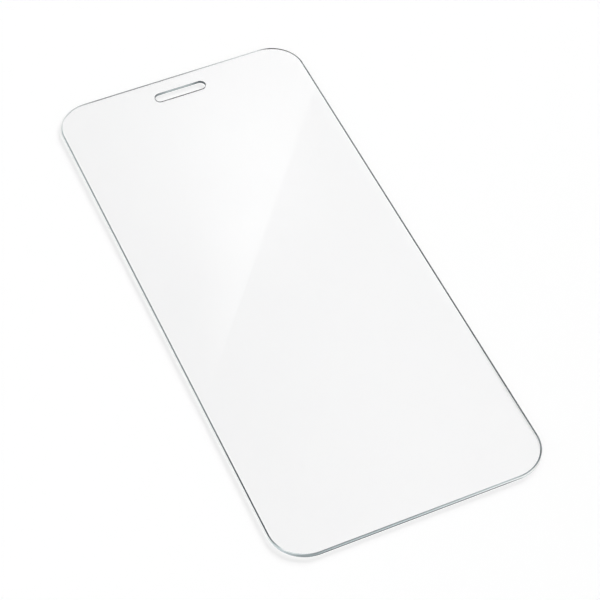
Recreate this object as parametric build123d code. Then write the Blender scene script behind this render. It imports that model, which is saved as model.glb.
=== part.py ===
from build123d import *
import os

# Glass screen protector for a phone, lying face up.
# Millimetres. The origin is the middle of the underside, +Z is up and +Y points to the earpiece end.

# The sheet
sheet_width = 66.0
sheet_length = 148.0
sheet_thickness = 0.65
corner_radius = 8.9

# The earpiece slot, measured over its rounded ends
slot_length = 13.6
slot_width = 2.7
slot_centre_from_end = 6.0

# The edges, as shares of the thickness so that they follow a thinner or thicker sheet
outline_rounding = 0.7 * sheet_thickness
slot_rounding = 0.25 * sheet_thickness
underside_break = 0.12 * sheet_thickness


def blank_sheet():
    """The flat sheet as it is cut out: rounded corners and the slot, with square edges."""
    outline = RectangleRounded(sheet_width, sheet_length, corner_radius)
    slot_centre = sheet_length / 2 - slot_centre_from_end
    slot = Pos(0, slot_centre) * SlotOverall(slot_length, slot_width)
    return extrude(outline - slot, sheet_thickness)


def round_upper_edges(sheet):
    """Polish the upper edges: a wide arc round the outline and a finer one round the slot."""
    outline_edges = sheet.faces().sort_by(Axis.Z)[-1].outer_wire().edges()
    sheet = fillet(outline_edges, outline_rounding)
    slot_edges = sheet.faces().sort_by(Axis.Z)[-1].inner_wires()[0].edges()
    return fillet(slot_edges, slot_rounding)


def break_lower_edges(sheet):
    """Take the sharpness off the edges of the face that sticks to the phone."""
    return chamfer(sheet.faces().sort_by(Axis.Z)[0].edges(), underside_break)


glass_sheet = break_lower_edges(round_upper_edges(blank_sheet()))

os.makedirs("parts", exist_ok=True)
export_step(glass_sheet, "parts/glass_sheet.step")
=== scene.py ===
import math

import bpy
from mathutils import Matrix, Vector


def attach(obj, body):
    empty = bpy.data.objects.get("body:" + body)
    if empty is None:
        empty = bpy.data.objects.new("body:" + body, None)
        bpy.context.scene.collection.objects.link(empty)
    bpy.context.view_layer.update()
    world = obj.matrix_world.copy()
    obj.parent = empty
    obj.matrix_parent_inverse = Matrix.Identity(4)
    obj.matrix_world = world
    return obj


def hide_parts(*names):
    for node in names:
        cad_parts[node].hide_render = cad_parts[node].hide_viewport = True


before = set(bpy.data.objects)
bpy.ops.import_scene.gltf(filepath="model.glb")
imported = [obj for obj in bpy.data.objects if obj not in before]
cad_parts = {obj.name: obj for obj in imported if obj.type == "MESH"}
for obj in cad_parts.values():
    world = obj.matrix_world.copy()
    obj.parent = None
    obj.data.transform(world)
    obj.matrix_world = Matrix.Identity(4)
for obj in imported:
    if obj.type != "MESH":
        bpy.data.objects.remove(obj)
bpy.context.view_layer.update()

MM = 0.001
WHITE = (1.0, 1.0, 1.0, 1.0)

# The sheet, as in the part's source
SHEET_WIDTH = 66.0 * MM
SHEET_LENGTH = 148.0 * MM
SHEET_THICKNESS = 0.65 * MM
CORNER_RADIUS = 8.9 * MM
SLOT_LENGTH = 13.6 * MM
SLOT_WIDTH = 2.7 * MM
SLOT_CENTRE_FROM_END = 6.0 * MM
OUTLINE_ROUNDING = 0.7 * SHEET_THICKNESS
SLOT_ROUNDING = 0.25 * SHEET_THICKNESS
UNDERSIDE_BREAK = 0.12 * SHEET_THICKNESS

# A narrow strip of the upper face that has the edge's painted tone, wider on the far side, where it widens
# the painted dark line
RIM_NARROW = 0.02 * MM
RIM_FAR = 0.2 * MM

# The lines of painted shade along an edge, standing in for the dark look of the rounded glass edge, as
# shares of the thickness: the upper one reaches further down on the broad side
BROAD_SIDE = Vector((0.77, 0.64, 0.0))
BROAD_START = 0.3
UPPER_LINE_NARROW = 0.91
UPPER_LINE_BROAD = 0.66
LOWER_LINE = 0.52
LINE_FADE = 0.05

# How finely curves are divided
CORNER_STEPS = 32
SLOT_END_STEPS = 40
ROUNDING_STEPS = 16
WALL_STEPS = 6
SIDE_STEP = 4.0 * MM

# Material slots of the sheet
FACE = 0
EDGE = 1
SLOT_EDGE = 2

# The glass
GLASS_IOR = 1.5
EDGE_ROUGHNESS = 0.15
FACE_CLEARNESS = (0.979, 0.979, 0.981)
EDGE_CLEARNESS = (0.12, 0.12, 0.12)
SLOT_CLEARNESS = (0.45, 0.45, 0.45)
EDGE_CLEARNESS_FROM = 0.5 * SHEET_THICKNESS

# The cool tint of a grey edge, which leaves it as the edge goes to white and is weak at the far end
EDGE_TINT = (0.90, 1.0, 1.01)
EDGE_COOL = 0.008
TINT_FADE = 0.35
TINT_FAR = 0.35
TINT_FAR_PACE = 2.0

# Light that reaches the floor under the sheet through the foot of its right edge: shaded near the near end,
# and gathered into a pale line further along
UNDER_SHADED = (0.0, 0.0, 0.0)
UNDER_GATHERED = (1.35, 1.35, 1.35)
UNDER_SIDE = 20.0 * MM
UNDER_SHADED_END = -48.0 * MM
UNDER_GATHERED_START = -25.0 * MM
UNDER_FULL = 0.35 * SHEET_THICKNESS
UNDER_TOP = 0.60 * SHEET_THICKNESS

# Painted tones of the edge by place, for the upper line, the wall and the lower line: the shade, highlights
# and reflections that the lamps give the rounded glass edge. Place 0 is the middle of the near end, and the
# corners lie between 1 and 2, 3 and 4, 6 and 7, and 8 and 9, counter-clockwise.
EDGE_TONES = (
    (0.0, 0.38, 0.68, 0.06),
    (0.9, 0.58, 0.92, 0.08),
    (1.05, 0.42, 1.0, 0.65),
    (1.4, 0.24, 1.0, 1.0),
    (1.65, 0.14, 1.0, 1.0),
    (1.9, 0.22, 0.9, 0.9),
    (2.05, 0.06, 0.8, 0.8),
    (2.3, 0.0, 0.8, 0.8),
    (2.8, 0.06, 0.8, 0.8),
    (3.2, 0.12, 0.8, 0.8),
    (3.5, 0.0, 0.8, 0.8),
    (3.8, 0.0, 0.8, 0.8),
    (4.0, 0.65, 0.85, 0.85),
    (4.5, 0.60, 0.85, 0.85),
    (4.8, 0.40, 0.8, 0.8),
    (5.2, 0.29, 0.8, 0.8),
    (5.9, 0.27, 0.8, 0.8),
    (6.15, 0.60, 0.9, 0.9),
    (6.3, 0.56, 0.95, 0.95),
    (6.65, 0.92, 1.0, 1.0),
    (6.95, 0.52, 1.0, 1.0),
    (7.05, 0.37, 1.0, 1.0),
    (7.3, 0.23, 1.0, 1.0),
    (7.7, 0.23, 1.0, 1.0),
    (7.85, 0.05, 1.0, 1.0),
    (8.0, 0.04, 1.0, 1.0),
    (8.2, 0.30, 0.75, 0.85),
    (8.4, 0.95, 0.54, 0.62),
    (8.7, 0.58, 0.28, 0.27),
    (8.9, 0.32, 0.34, 0.24),
    (9.1, 0.33, 0.54, 0.08),
    (10.0, 0.38, 0.68, 0.06),
)

# The same painted shade, highlights and reflections for the slot: place 0 is the middle of its near side,
# and its round ends lie between 1 and 2, and 4 and 5
SLOT_TONES = (
    (0.0, 0.03, 0.03, 0.03),
    (1.4, 0.06, 0.06, 0.06),
    (1.95, 0.10, 0.14, 0.14),
    (2.4, 0.46, 0.52, 0.46),
    (3.5, 0.46, 0.52, 0.46),
    (4.2, 0.18, 0.24, 0.24),
    (4.8, 0.22, 0.22, 0.22),
    (5.1, 0.03, 0.03, 0.03),
    (6.0, 0.03, 0.03, 0.03),
)

# The camera, fitted to the outline of the sheet in the photograph
CAMERA_TARGET = Vector((0.300, -7.426, 0.0)) * MM
CAMERA_DISTANCE = 502.245 * MM
CAMERA_AZIMUTH = -23.333
CAMERA_ELEVATION = 50.553
CAMERA_ROLL = -0.566
CAMERA_LENS = 127.786
CAMERA_SENSOR = 36.0
CAMERA_NEAREST = 0.01

# The floor
FLOOR_REACH = 6.0
FLOOR_GAP = 0.02 * MM

# Levels of the room, where 1 is white. The floor is lifted more, the further it is from the sheet.
FLOOR_COLOUR = 0.9
FLOOR_LIFT = 0.135
FLOOR_LIFT_FAR = 0.65
FLOOR_NEAR = 0.25
FLOOR_FAR = 1.5
ROOM_LEVEL = 0.42

# The room as the glass mirrors it: pale at the horizon, with one dim part and a soft glow, in degrees about
# their middles
MIRRORED_LEVEL = 0.54
HORIZON_LEVEL = 0.85
HORIZON_TOP = 0.34
DIM_PLACE = Vector((-0.176, 0.543, 0.821))
DIM_INNER = 18.0
DIM_OUTER = 27.1
GLOW_PLACE = Vector((0.240, 0.641, 0.729))
GLOW_OUTER = 4.2
GLOW_LEVEL = 0.30

# Lamps: their sizes, levels and places
OVERHEAD_SIZE = 0.4
OVERHEAD_LEVEL = 8.0
OVERHEAD_PLACE = Vector((-0.5, -0.12, 1.1))
NEAR_FILL_WIDTH = 0.8
NEAR_FILL_HEIGHT = 0.3
NEAR_FILL_LEVEL = 10.0
NEAR_FILL_PLACE = Vector((-0.51, -1.38, 0.31))
BACK_STRIP_WIDTH = 0.84
BACK_STRIP_HEIGHT = 0.42
BACK_STRIP_LEVEL = 27.0
BACK_STRIP_PLACE = Vector((1.43, 1.24, 0.633))
LIGHT_BOUNCES = 32

# The panel of light that shows on the glass as a slanting reflection, brightest some way from its tip
PANEL_TIP = Vector((0.1433, 0.4739, 0.7))
PANEL_TURN = 38.0
PANEL_WIDTH = 0.32
PANEL_LENGTH = 0.40
PANEL_LEVEL = 0.6
PANEL_FAN = 0.45
PANEL_TIP_SHARE = 0.17
PANEL_RISE_END = 0.145
PANEL_FALL_START = 0.13
PANEL_FALL_END = 0.175
PANEL_FAR_SHARE = 0.65

# Panels like it in a ring round the sheet, higher on the far side, and too low to show in the photo's view
SIDE_PANELS = 8
SIDE_PANEL_FIRST = 43.0
SIDE_PANEL_RISE = 22.0
SIDE_PANEL_RISE_FAR = 29.0
SIDE_PANEL_REACH = 1.2
SIDE_PANEL_TURN = 162.0


def arc(centre, radius, start, sweep, steps):
    """Points on an arc in the XY plane with their outward directions, angles in degrees."""
    points = []
    for step in range(steps + 1):
        angle = math.radians(start + sweep * step / steps)
        outward = Vector((math.cos(angle), math.sin(angle), 0.0))
        points.append((centre + outward * radius, outward))
    return points


def closed_loop(runs):
    """Joins runs of points into a closed loop, with points along the straight sides between them.

    Each point has its place: arcs and straight sides take one unit each.
    """
    loop = []
    place = 0
    for run, following in zip(runs, runs[1:] + runs[:1]):
        for step, (point, outward) in enumerate(run):
            loop.append((place + step / max(1, len(run) - 1), point, outward))
        if len(run) > 1:
            place += 1
        start, outward = run[-1]
        end = following[0][0]
        steps = math.ceil((end - start).length / SIDE_STEP)
        for step in range(1, steps):
            loop.append((place + step / steps, start.lerp(end, step / steps), outward))
        place += 1
    return loop


def outline_loop():
    """The sheet's outline from the middle of the near end, counter-clockwise from above."""
    across = SHEET_WIDTH / 2 - CORNER_RADIUS
    along = SHEET_LENGTH / 2 - CORNER_RADIUS
    near = Vector((0.0, -1.0, 0.0))
    far = Vector((0.0, 1.0, 0.0))
    return closed_loop([
        [(near * SHEET_LENGTH / 2, near)],
        arc(Vector((across, -along, 0.0)), CORNER_RADIUS, -90, 90, CORNER_STEPS),
        arc(Vector((across, along, 0.0)), CORNER_RADIUS, 0, 90, CORNER_STEPS),
        [(far * SHEET_LENGTH / 2, far)],
        arc(Vector((-across, along, 0.0)), CORNER_RADIUS, 90, 90, CORNER_STEPS),
        arc(Vector((-across, -along, 0.0)), CORNER_RADIUS, 180, 90, CORNER_STEPS),
    ])


def slot_loop():
    """The slot's outline from the middle of its near side, counter-clockwise from above."""
    centre = Vector((0.0, SHEET_LENGTH / 2 - SLOT_CENTRE_FROM_END, 0.0))
    radius = SLOT_WIDTH / 2
    reach = Vector((SLOT_LENGTH / 2 - radius, 0.0, 0.0))
    near = Vector((0.0, -1.0, 0.0))
    far = Vector((0.0, 1.0, 0.0))
    return closed_loop([
        [(centre + near * radius, near)],
        arc(centre + reach, radius, -90, 180, SLOT_END_STEPS),
        [(centre + far * radius, far)],
        arc(centre - reach, radius, 90, 180, SLOT_END_STEPS),
    ])


def tones_along(loop, stops):
    """The tones at each point of a loop, between the stops before and after it."""
    tones = []
    for place, point, outward in loop:
        after = next(number for number in range(1, len(stops)) if stops[number][0] > place)
        low, high = stops[after - 1], stops[after]
        share = (place - low[0]) / (high[0] - low[0])
        tones.append([first + (second - first) * share for first, second in zip(low[1:], high[1:])])
    return tones


def edge_profile(rounding):
    """Steps down an edge, each (distance into the glass, height, tilt above it, tilt below it)."""
    profile = []
    for step in range(ROUNDING_STEPS + 1):
        tilt = math.radians(90 * step / ROUNDING_STEPS)
        inset = rounding * (1 - math.sin(tilt))
        height = SHEET_THICKNESS - rounding * (1 - math.cos(tilt))
        profile.append((inset, height, tilt, tilt))
    upright = math.radians(90)
    slant = math.radians(135)
    under = math.radians(180)
    top = SHEET_THICKNESS - rounding
    for step in range(1, WALL_STEPS):
        profile.append((0.0, top + (UNDERSIDE_BREAK - top) * step / WALL_STEPS, upright, upright))
    profile.append((0.0, UNDERSIDE_BREAK, upright, slant))
    profile.append((UNDERSIDE_BREAK, 0.0, slant, under))
    return profile


def held(value):
    """A value held between 0 and 1."""
    return min(1.0, max(0.0, value))


def tinted(tone, strength):
    """A grey of the edge as a colour."""
    share = strength * held((1 - tone) / TINT_FADE)
    red, green, blue = [tone * (1 + (part - 1) * share) for part in EDGE_TINT]
    return [held(red - EDGE_COOL * share), green, blue + EDGE_COOL * share, 1.0]


def edge_colour(height, facing, tones):
    """The painted colour of an edge at a height, on a wall that faces a way: its lines of painted shade and
    pale reflections.
    """
    upper_tone, wall_tone, lower_tone = tones
    level = height / SHEET_THICKNESS
    broad = held(BROAD_START + facing.dot(BROAD_SIDE))
    upper_end = UPPER_LINE_NARROW + (UPPER_LINE_BROAD - UPPER_LINE_NARROW) * broad
    upper = held(1 - (upper_end - level) / LINE_FADE)
    lower = held(1 - (level - LOWER_LINE) / LINE_FADE) * (1 - upper)
    tone = wall_tone + (upper_tone - wall_tone) * upper + (lower_tone - wall_tone) * lower
    return tinted(tone, 1 + (TINT_FAR - 1) * held(TINT_FAR_PACE * facing.y))


class GlassMesh:
    """Collects points, faces and exact corner normals."""

    def __init__(self):
        self.points = []
        self.colours = []
        self.faces = []
        self.normals = []
        self.materials = []

    def ring(self, loop, insets, height, colours, into=1):
        """Points at a height along a loop, each a distance into the glass."""
        first = len(self.points)
        for (place, point, outward), inset in zip(loop, insets):
            self.points.append(point - outward * into * inset + Vector((0.0, 0.0, height)))
        self.colours += colours
        return range(first, first + len(loop))

    def face(self, corners, normals, material):
        self.faces.append(list(corners))
        self.normals.extend(normals)
        self.materials.append(material)

    def band(self, loop, upper, lower, upper_tilt, lower_tilt, into):
        """Faces between two rings of an edge."""
        count = len(loop)
        for here in range(count):
            there = (here + 1) % count
            corners = [upper[here], lower[here], lower[there], upper[there]]
            tilts = [upper_tilt, lower_tilt, lower_tilt, upper_tilt]
            sides = [loop[here][2], loop[here][2], loop[there][2], loop[there][2]]
            normals = []
            for tilt, side in zip(tilts, sides):
                normals.append(side * into * math.sin(tilt) + Vector((0.0, 0.0, math.cos(tilt))))
            if into < 0:
                corners.reverse()
                normals.reverse()
            self.face(corners, normals, EDGE if into > 0 else SLOT_EDGE)

    def wall(self, loop, tones, profile, into):
        """Bands down an edge. into is 1 for the outline and -1 for a hole, whose wall faces inwards."""
        rings = []
        for inset, height, above, below in profile:
            colours = []
            for (place, point, outward), here in zip(loop, tones):
                colours.append(edge_colour(height, outward * into, here))
            rings.append(self.ring(loop, [inset] * len(loop), height, colours, into))
        for upper, lower in zip(range(len(profile)), range(1, len(profile))):
            self.band(loop, rings[upper], rings[lower], profile[upper][3], profile[lower][2], into)
        return rings

    def rim(self, loop, tones, inset, edge):
        """A strip of the upper face inside its edge, with the edge's painted shade tone. Returns its inner
        ring.
        """
        insets = []
        colours = []
        for (place, point, outward), here in zip(loop, tones):
            insets.append(inset + RIM_NARROW + (RIM_FAR - RIM_NARROW) * held(outward.y))
            colours.append(edge_colour(SHEET_THICKNESS, outward, here))
        inner = self.ring(loop, insets, SHEET_THICKNESS, colours)
        self.band(loop, inner, edge, 0.0, 0.0, 1)
        return inner

    def flat(self, outer, inner, up):
        """A flat face with a hole, as two halves that meet along the sheet's middle."""
        half_outer = len(outer) // 2
        half_inner = len(inner) // 2
        outer = list(outer) + [outer[0]]
        inner = list(inner) + [inner[0]]
        right = outer[:half_outer + 1] + inner[half_inner::-1]
        left = outer[half_outer:] + inner[:half_inner - 1:-1]
        for half in (right, left):
            if up < 0:
                half.reverse()
            self.face(half, [Vector((0.0, 0.0, up))] * len(half), FACE)

    def build(self, name):
        mesh = bpy.data.meshes.new(name)
        mesh.from_pydata([tuple(point) for point in self.points], [], self.faces)
        mesh.polygons.foreach_set("use_smooth", [True] * len(mesh.polygons))
        mesh.polygons.foreach_set("material_index", self.materials)
        mesh.normals_split_custom_set([tuple(normal.normalized()) for normal in self.normals])
        # The edges' painted shade, highlights and reflections, as colours at the points
        tones = mesh.attributes.new("edge_tone", "FLOAT_COLOR", "POINT")
        tones.data.foreach_set("color", [part for colour in self.colours for part in colour])
        mesh.update()
        piece = bpy.data.objects.new(name, mesh)
        bpy.context.scene.collection.objects.link(piece)
        return piece


def make_sheet():
    glass = GlassMesh()
    outline = outline_loop()
    outline_tones = tones_along(outline, EDGE_TONES)
    outline_rings = glass.wall(outline, outline_tones, edge_profile(OUTLINE_ROUNDING), 1)
    rim = glass.rim(outline, outline_tones, OUTLINE_ROUNDING, outline_rings[0])
    slot = slot_loop()
    slot_rings = glass.wall(slot, tones_along(slot, SLOT_TONES), edge_profile(SLOT_ROUNDING), -1)
    glass.flat(rim, slot_rings[0], 1)
    glass.flat(outline_rings[-1], slot_rings[-1], -1)
    return glass.build("screen_glass")


class Nodes:
    """A node tree that is filled one node at a time."""

    def __init__(self, tree):
        self.tree = tree

    def add(self, kind, **settings):
        node = self.tree.nodes.new(kind)
        for name, value in settings.items():
            setattr(node, name, value)
        return node

    def join(self, output, socket):
        self.tree.links.new(output, socket)

    def math(self, operation, first, second):
        """The result of an operation on two numbers, each a socket or a plain value."""
        node = self.add("ShaderNodeMath", operation=operation)
        for socket, value in zip(node.inputs, (first, second)):
            if isinstance(value, (int, float)):
                socket.default_value = value
            else:
                self.join(value, socket)
        return node.outputs["Value"]

    def spread(self, value, low, high, start, end, kind="LINEAR"):
        """A number carried from low..high to start..end, and held at its ends."""
        node = self.add("ShaderNodeMapRange", interpolation_type=kind)
        self.join(value, node.inputs["Value"])
        node.inputs["From Min"].default_value = low
        node.inputs["From Max"].default_value = high
        node.inputs["To Min"].default_value = start
        node.inputs["To Max"].default_value = end
        return node.outputs["Result"]

    def angle(self, direction, place):
        """The angle between a direction and a fixed one."""
        node = self.add("ShaderNodeVectorMath", operation="DOT_PRODUCT")
        self.join(direction, node.inputs[0])
        node.inputs[1].default_value = place.normalized()
        return self.math("ARCCOSINE", node.outputs["Value"], 0.0)

    def blend(self, share, first, second):
        """A colour between two, each a socket or a plain colour."""
        node = self.add("ShaderNodeMix", data_type="RGBA")
        self.join(share, node.inputs["Factor"])
        colours = [socket for socket in node.inputs if socket.type == "RGBA"]
        for socket, colour in zip(colours, (first, second)):
            if isinstance(colour, tuple):
                socket.default_value = (*colour, 1.0)
            else:
                self.join(colour, socket)
        return [socket for socket in node.outputs if socket.type == "RGBA"][0]

    def mix_shader(self, share, first, second):
        node = self.add("ShaderNodeMixShader")
        self.join(share, node.inputs["Fac"])
        self.join(first, node.inputs[1])
        self.join(second, node.inputs[2])
        return node.outputs["Shader"]


def new_material(name):
    material = bpy.data.materials.new(name)
    material.use_nodes = True
    material.node_tree.nodes.clear()
    nodes = Nodes(material.node_tree)
    return material, nodes, nodes.add("ShaderNodeOutputMaterial")


def floor_light(nodes):
    """1 for the rays that carry light to the floor under the sheet, and 0 for those that see the glass."""
    path = nodes.add("ShaderNodeLightPath")
    return nodes.math("MAXIMUM", path.outputs["Is Shadow Ray"], path.outputs["Is Diffuse Ray"])


def face_material():
    """The two flat faces: clear glass."""
    material, nodes, output = new_material("clear_glass")
    glass = nodes.add("ShaderNodeBsdfPrincipled")
    glass.inputs["Base Color"].default_value = WHITE
    glass.inputs["Transmission Weight"].default_value = 1.0
    glass.inputs["Roughness"].default_value = 0.0
    glass.inputs["IOR"].default_value = GLASS_IOR
    through = nodes.add("ShaderNodeBsdfTransparent")
    through.inputs["Color"].default_value = (*FACE_CLEARNESS, 1.0)
    surface = nodes.mix_shader(floor_light(nodes), glass.outputs["BSDF"], through.outputs["BSDF"])
    nodes.join(surface, output.inputs["Surface"])
    return material


def edge_material(name, clearness):
    """An edge painted with cool grey lines of shade and pale reflections. Some light gets past it to the
    floor.
    """
    material, nodes, output = new_material(name)
    glass = nodes.add("ShaderNodeBsdfPrincipled")
    tone = nodes.add("ShaderNodeAttribute", attribute_name="edge_tone")
    nodes.join(tone.outputs["Color"], glass.inputs["Base Color"])
    glass.inputs["Roughness"].default_value = EDGE_ROUGHNESS
    glass.inputs["IOR"].default_value = GLASS_IOR
    place = nodes.add("ShaderNodeTexCoord")
    split = nodes.add("ShaderNodeSeparateXYZ")
    nodes.join(place.outputs["Object"], split.inputs["Vector"])
    upper = nodes.spread(split.outputs["Z"], 0.0, EDGE_CLEARNESS_FROM, 0.0, 1.0)
    past = nodes.blend(upper, FACE_CLEARNESS, clearness)
    along = nodes.spread(split.outputs["Y"], UNDER_SHADED_END, UNDER_GATHERED_START, 0.0, 1.0)
    right = nodes.spread(split.outputs["X"], UNDER_SIDE, SHEET_WIDTH / 2, 0.0, 1.0)
    foot = nodes.spread(split.outputs["Z"], UNDER_FULL, UNDER_TOP, 1.0, 0.0)
    gathered = nodes.blend(along, UNDER_SHADED, UNDER_GATHERED)
    under = nodes.blend(nodes.math("MULTIPLY", right, foot), FACE_CLEARNESS, gathered)
    side = nodes.add("ShaderNodeNewGeometry")
    through = nodes.add("ShaderNodeBsdfTransparent")
    nodes.join(nodes.blend(side.outputs["Backfacing"], past, under), through.inputs["Color"])
    surface = nodes.mix_shader(floor_light(nodes), glass.outputs["BSDF"], through.outputs["BSDF"])
    nodes.join(surface, output.inputs["Surface"])
    return material


def floor_material():
    """White paper, lifted to white where it is seen, with the shadows kept."""
    material, nodes, output = new_material("white_floor")
    paper = nodes.add("ShaderNodeBsdfDiffuse")
    paper.inputs["Color"].default_value = (FLOOR_COLOUR, FLOOR_COLOUR, FLOOR_COLOUR, 1.0)
    path = nodes.add("ShaderNodeLightPath")
    seen = nodes.math("MAXIMUM", path.outputs["Is Camera Ray"], path.outputs["Is Glossy Ray"])
    seen = nodes.math("MAXIMUM", seen, path.outputs["Is Transmission Ray"])
    lift = nodes.add("ShaderNodeEmission")
    place = nodes.add("ShaderNodeTexCoord")
    reach = nodes.add("ShaderNodeVectorMath", operation="LENGTH")
    nodes.join(place.outputs["Object"], reach.inputs[0])
    strength = nodes.spread(reach.outputs["Value"], FLOOR_NEAR, FLOOR_FAR, FLOOR_LIFT, FLOOR_LIFT_FAR)
    nodes.join(nodes.math("MULTIPLY", seen, strength), lift.inputs["Strength"])
    both = nodes.add("ShaderNodeAddShader")
    nodes.join(paper.outputs["BSDF"], both.inputs[0])
    nodes.join(lift.outputs["Emission"], both.inputs[1])
    nodes.join(both.outputs["Shader"], output.inputs["Surface"])
    return material


def make_floor():
    mesh = bpy.data.meshes.new("floor")
    corners = []
    for x, y in ((-1, -1), (1, -1), (1, 1), (-1, 1)):
        corners.append((x * FLOOR_REACH, y * FLOOR_REACH, -FLOOR_GAP))
    mesh.from_pydata(corners, [], [(0, 1, 2, 3)])
    mesh.materials.append(floor_material())
    floor = bpy.data.objects.new("floor", mesh)
    bpy.context.scene.collection.objects.link(floor)


def make_world():
    """An even grey room, white to the camera, and with levels of its own where the glass mirrors it."""
    world = bpy.data.worlds.new("studio")
    world.use_nodes = True
    bpy.context.scene.world = world
    nodes = Nodes(world.node_tree)
    output = world.node_tree.nodes["World Output"]
    room = world.node_tree.nodes["Background"]
    room.inputs["Color"].default_value = (ROOM_LEVEL, ROOM_LEVEL, ROOM_LEVEL, 1.0)
    white = nodes.add("ShaderNodeBackground")
    white.inputs["Color"].default_value = WHITE
    mirrored = nodes.add("ShaderNodeBackground")
    mirrored.inputs["Color"].default_value = WHITE
    place = nodes.add("ShaderNodeTexCoord")
    from_dim = nodes.angle(place.outputs["Generated"], DIM_PLACE)
    inner = math.radians(DIM_INNER)
    outer = math.radians(DIM_OUTER)
    undimmed = nodes.spread(from_dim, inner, outer, 0.0, 1.0, "SMOOTHSTEP")
    from_glow = nodes.angle(place.outputs["Generated"], GLOW_PLACE)
    glow = nodes.spread(from_glow, 0.0, math.radians(GLOW_OUTER), GLOW_LEVEL, 0.0, "SMOOTHSTEP")
    split = nodes.add("ShaderNodeSeparateXYZ")
    nodes.join(place.outputs["Generated"], split.inputs["Vector"])
    level = nodes.spread(split.outputs["Z"], 0.0, HORIZON_TOP, HORIZON_LEVEL, MIRRORED_LEVEL)
    level = nodes.math("ADD", nodes.math("MULTIPLY", undimmed, level), glow)
    nodes.join(level, mirrored.inputs["Strength"])
    path = nodes.add("ShaderNodeLightPath")
    glossy = path.outputs["Is Glossy Ray"]
    sky = nodes.mix_shader(glossy, room.outputs["Background"], mirrored.outputs["Background"])
    sky = nodes.mix_shader(path.outputs["Is Camera Ray"], sky, white.outputs["Background"])
    nodes.join(sky, output.inputs["Surface"])


def area_light(name, width, height, level):
    """A flat lamp of an even brightness, not yet placed."""
    light = bpy.data.lights.new(name, "AREA")
    light.shape = "RECTANGLE"
    light.size = width
    light.size_y = height
    light.energy = level * math.pi * width * height
    lamp = bpy.data.objects.new(name, light)
    lamp.visible_camera = False
    bpy.context.scene.collection.objects.link(lamp)
    return lamp


def facing_sheet(place):
    """The turn of a lamp at a place that faces the middle of the sheet."""
    return (-place).to_track_quat("-Z", "Y").to_matrix().to_4x4()


def aim(lamp, place):
    lamp.matrix_world = Matrix.Translation(place) @ facing_sheet(place)


def make_lamps():
    """A lamp overhead, and a fill and a back strip that the glass doesn't mirror."""
    overhead = area_light("overhead", OVERHEAD_SIZE, OVERHEAD_SIZE, OVERHEAD_LEVEL)
    aim(overhead, OVERHEAD_PLACE)
    near_fill = area_light("near_fill", NEAR_FILL_WIDTH, NEAR_FILL_HEIGHT, NEAR_FILL_LEVEL)
    aim(near_fill, NEAR_FILL_PLACE)
    near_fill.visible_glossy = False
    near_fill.data.use_shadow = False
    back_strip = area_light("back_strip", BACK_STRIP_WIDTH, BACK_STRIP_HEIGHT, BACK_STRIP_LEVEL)
    aim(back_strip, BACK_STRIP_PLACE)
    back_strip.visible_glossy = False


def make_panel(name, tip, turn):
    """A panel with one straight border. From there it dims in a fan that opens from the tip."""
    lamp = area_light(name, PANEL_WIDTH, PANEL_LENGTH, PANEL_LEVEL)
    middle = Matrix.Translation((-PANEL_WIDTH / 2, PANEL_LENGTH / 2, 0.0))
    lamp.matrix_world = Matrix.Translation(tip) @ turn @ middle
    lamp.data.use_nodes = True
    nodes = Nodes(lamp.data.node_tree)
    emission = lamp.data.node_tree.nodes["Emission"]
    place = nodes.add("ShaderNodeNewGeometry")
    split = nodes.add("ShaderNodeSeparateXYZ")
    nodes.join(place.outputs["Parametric"], split.inputs["Vector"])
    from_border = nodes.spread(split.outputs["X"], 0.0, 1.0, PANEL_WIDTH, 0.0)
    from_tip = nodes.spread(split.outputs["Y"], 0.0, 1.0, 0.0, PANEL_LENGTH)
    slope = nodes.math("DIVIDE", from_border, from_tip)
    fan = nodes.spread(slope, 0.0, PANEL_FAN, 1.0, 0.0, "SMOOTHSTEP")
    rise = nodes.spread(from_tip, 0.0, PANEL_RISE_END, PANEL_TIP_SHARE, 1.0)
    fall = nodes.spread(from_tip, PANEL_FALL_START, PANEL_FALL_END, 1.0, PANEL_FAR_SHARE)
    along = nodes.math("MULTIPLY", rise, fall)
    nodes.join(nodes.math("MULTIPLY", fan, along), emission.inputs["Strength"])
    return lamp


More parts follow.
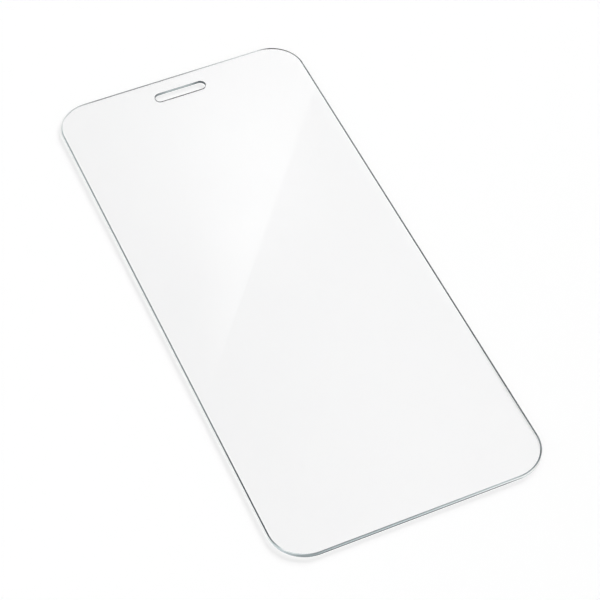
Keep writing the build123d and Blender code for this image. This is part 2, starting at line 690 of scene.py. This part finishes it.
def make_side_panels():
    for number in range(SIDE_PANELS):
        around = math.radians(SIDE_PANEL_FIRST + 360 * number / SIDE_PANELS)
        rise = math.radians(SIDE_PANEL_RISE + (SIDE_PANEL_RISE_FAR - SIDE_PANEL_RISE) * math.sin(around))
        outward = Vector((
            math.cos(around) * math.cos(rise),
            math.sin(around) * math.cos(rise),
            math.sin(rise),
        ))
        tip = outward * SIDE_PANEL_REACH
        turn = facing_sheet(tip) @ Matrix.Rotation(math.radians(-SIDE_PANEL_TURN), 4, "Z")
        make_panel(f"side_panel_{number}", tip, turn).visible_diffuse = False


def make_camera():
    azimuth = math.radians(CAMERA_AZIMUTH)
    elevation = math.radians(CAMERA_ELEVATION)
    away = Vector((
        math.sin(azimuth) * math.cos(elevation),
        -math.cos(azimuth) * math.cos(elevation),
        math.sin(elevation),
    ))
    data = bpy.data.cameras.new("camera")
    data.lens = CAMERA_LENS
    data.sensor_width = CAMERA_SENSOR
    data.clip_start = CAMERA_NEAREST
    camera = bpy.data.objects.new("camera", data)
    level = (-away).to_track_quat("-Z", "Y").to_matrix().to_4x4()
    roll = Matrix.Rotation(math.radians(CAMERA_ROLL), 4, "Z")
    camera.matrix_world = Matrix.Translation(CAMERA_TARGET + away * CAMERA_DISTANCE) @ level @ roll
    bpy.context.scene.collection.objects.link(camera)
    bpy.context.scene.camera = camera


sheet = make_sheet()
sheet.data.materials.append(face_material())
sheet.data.materials.append(edge_material("glass_edge", EDGE_CLEARNESS))
sheet.data.materials.append(edge_material("slot_edge", SLOT_CLEARNESS))
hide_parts("glass_sheet")
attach(sheet, "root")

make_floor()
make_world()
make_lamps()
make_panel("panel", PANEL_TIP, Matrix.Rotation(math.radians(-PANEL_TURN), 4, "Z"))
make_side_panels()
make_camera()

scene = bpy.context.scene
scene.view_settings.view_transform = "Standard"
scene.cycles.max_bounces = LIGHT_BOUNCES
scene.cycles.transmission_bounces = LIGHT_BOUNCES
scene.cycles.glossy_bounces = LIGHT_BOUNCES
